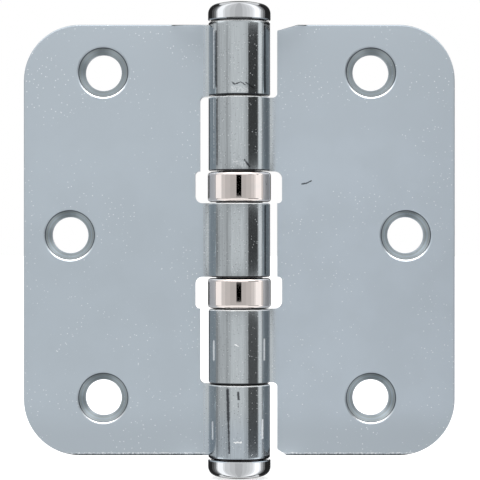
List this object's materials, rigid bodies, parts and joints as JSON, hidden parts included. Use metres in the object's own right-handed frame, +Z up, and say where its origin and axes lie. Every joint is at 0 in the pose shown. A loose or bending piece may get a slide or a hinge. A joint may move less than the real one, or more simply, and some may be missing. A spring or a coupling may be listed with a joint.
{
  "type": "ball bearing hinge",
  "caption": "Steel butt hinge with rounded leaves, rolled knuckles round a fixed pin, thrust ball bearings between knuckles and domed end caps.",
  "frame": {"origin": "middle of the pin, on its axis, with the hinge open and flat", "axes": "+Z up along the pin, +X across the door leaf away from the pin, +Y to the back of the leaves; the countersunk faces look to -Y"},
  "size_m": [0.089, 0.013, 0.0984],
  "materials": {
    "jamb_leaf": "satin zinc plate, bluish",
    "door_leaf": "satin zinc plate, bluish",
    "pin_steel": "ground, lightly greased",
    "cap_chrome": "polished chrome plate",
    "bearing_nickel": "polished nickel plate",
    "race_steel": "hardened and ground",
    "cage_brass": "stamped",
    "ball_steel": "polished"
  },
  "bodies": {
    "jamb_side": {"jamb_leaf": "jamb_leaf", "pin": "pin_steel", "top_cap": "cap_chrome", "bottom_cap": "cap_chrome", "upper_bottom_race": "race_steel", "lower_top_race": "race_steel", "lower_bearing_shell": "bearing_nickel"},
    "door_side": {"door_leaf": "door_leaf", "upper_top_race": "race_steel", "upper_bearing_shell": "bearing_nickel", "lower_bottom_race": "race_steel"},
    "upper_ball_set": {"upper_ball_cage": "cage_brass", "upper_ball_01": "ball_steel", "upper_ball_02": "ball_steel", "upper_ball_03": "ball_steel", "upper_ball_04": "ball_steel", "upper_ball_05": "ball_steel", "upper_ball_06": "ball_steel", "upper_ball_07": "ball_steel", "upper_ball_08": "ball_steel"},
    "lower_ball_set": {"lower_ball_cage": "cage_brass", "lower_ball_01": "ball_steel", "lower_ball_02": "ball_steel", "lower_ball_03": "ball_steel", "lower_ball_04": "ball_steel", "lower_ball_05": "ball_steel", "lower_ball_06": "ball_steel", "lower_ball_07": "ball_steel", "lower_ball_08": "ball_steel"}
  },
  "joints": [
    {"name": "leaf_swing", "type": "hinge", "parent": "jamb_side", "child": "door_side", "pos_m": [0, 0, 0], "axis": [0, 0, 1], "range_deg": [-180, 125]},
    {"name": "upper_ball_orbit", "type": "hinge", "parent": "jamb_side", "child": "upper_ball_set", "pos_m": [0, 0, 0.0109], "axis": [0, 0, 1], "range_deg": [-90, 62.5]},
    {"name": "lower_ball_orbit", "type": "hinge", "parent": "jamb_side", "child": "lower_ball_set", "pos_m": [0, 0, -0.0109], "axis": [0, 0, 1], "range_deg": [-90, 62.5]}
  ],
  "couplings": [
    {"joint": "upper_ball_orbit", "follows": "leaf_swing", "ratio": 0.5},
    {"joint": "lower_ball_orbit", "follows": "leaf_swing", "ratio": 0.5}
  ]
}
